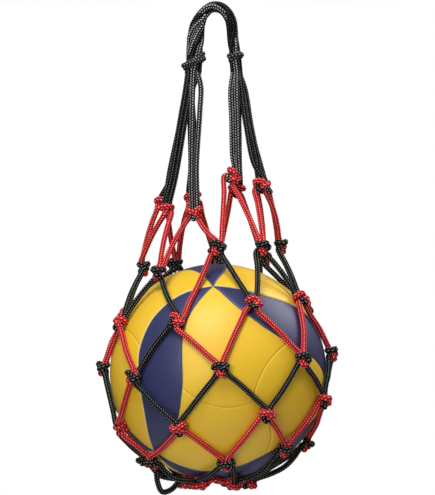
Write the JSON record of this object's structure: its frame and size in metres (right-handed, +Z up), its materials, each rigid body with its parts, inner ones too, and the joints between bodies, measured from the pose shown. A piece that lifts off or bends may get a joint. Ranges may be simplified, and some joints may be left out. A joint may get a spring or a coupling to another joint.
{
  "type": "mesh ball bag",
  "caption": "Hand-knotted diamond-mesh net bag with a corded handle, carrying one ball.",
  "frame": {"origin": "the hanging point: underside of the grip's arch at its middle", "axes": "+Z up along the hanging bag, +X to the right seen from the front, front faces -Y"},
  "size_m": [0.2355, 0.2372, 0.4742],
  "materials": {
    "black_cord": "matte",
    "red_cord": "satin",
    "yellow_panel": "matte",
    "blue_panel": "matte",
    "carcass_rubber": "matte",
    "bladder_rubber": "matte",
    "valve_rubber": "matte"
  },
  "bodies": {
    "handle": {"grip_strand_inner_1": "black_cord", "grip_strand_inner_2": "black_cord", "grip_strand_inner_3": "black_cord", "grip_strand_inner_4": "black_cord", "grip_strand_outer_1": "black_cord", "grip_strand_outer_2": "black_cord", "grip_strand_outer_3": "black_cord", "grip_strand_outer_4": "black_cord", "left_whipping": "black_cord", "right_whipping": "black_cord", "leg_a_front": "black_cord", "leg_a_back": "black_cord", "leg_b_front": "black_cord", "leg_b_back": "black_cord", "leg_c_front": "black_cord", "leg_c_back": "black_cord", "leg_d_front": "black_cord", "leg_d_back": "black_cord"},
    "collar": {"knots_row_a": "red_cord", "cord_tail": "black_cord", "red_course_1": "red_cord"},
    "net": {"knots_row_b": "black_cord", "knots_row_c": "red_cord", "knots_row_d": "black_cord", "knots_row_e": "red_cord", "knots_row_f": "black_cord", "knots_row_g": "red_cord", "black_course_2": "black_cord", "red_course_3": "red_cord", "black_course_4": "black_cord", "red_course_5": "red_cord", "black_course_6": "black_cord", "red_carried_leg_2": "red_cord", "black_carried_leg_3": "black_cord", "red_carried_leg_4": "red_cord", "black_carried_leg_5": "black_cord", "bottom_ring": "red_cord"},
    "ball": {"blue_panel_1": "blue_panel", "blue_panel_2": "blue_panel", "blue_panel_3": "blue_panel", "blue_panel_4": "blue_panel", "blue_panel_5": "blue_panel", "blue_panel_6": "blue_panel", "yellow_panel_1": "yellow_panel", "yellow_panel_2": "yellow_panel", "yellow_panel_3": "yellow_panel", "yellow_panel_4": "yellow_panel", "yellow_panel_5": "yellow_panel", "yellow_panel_6": "yellow_panel", "yellow_panel_7": "yellow_panel", "yellow_panel_8": "yellow_panel", "yellow_panel_9": "yellow_panel", "yellow_panel_10": "yellow_panel", "yellow_panel_11": "yellow_panel", "yellow_panel_12": "yellow_panel", "carcass": "carcass_rubber", "bladder": "bladder_rubber", "valve": "valve_rubber"}
  },
  "joints": [
    {"name": "handle_fold", "type": "hinge", "parent": "handle", "child": "collar", "pos_m": [0, 0, -0.11], "axis": [1, 0, 0], "range_deg": [-80, 80], "deforming": ["leg_a_front", "leg_a_back", "leg_b_front", "leg_b_back", "leg_c_front", "leg_c_back", "leg_d_front", "leg_d_back"]},
    {"name": "net_twist", "type": "hinge", "parent": "collar", "child": "net", "pos_m": [0.003, 0, -0.215], "axis": [0, 0, 1], "range_deg": [-20, 20], "deforming": ["red_course_1"]},
    {"name": "ball_turn", "type": "hinge", "parent": "net", "child": "ball", "pos_m": [0.003, 0, -0.349], "axis": [0, 0, 1], "continuous": true}
  ]
}
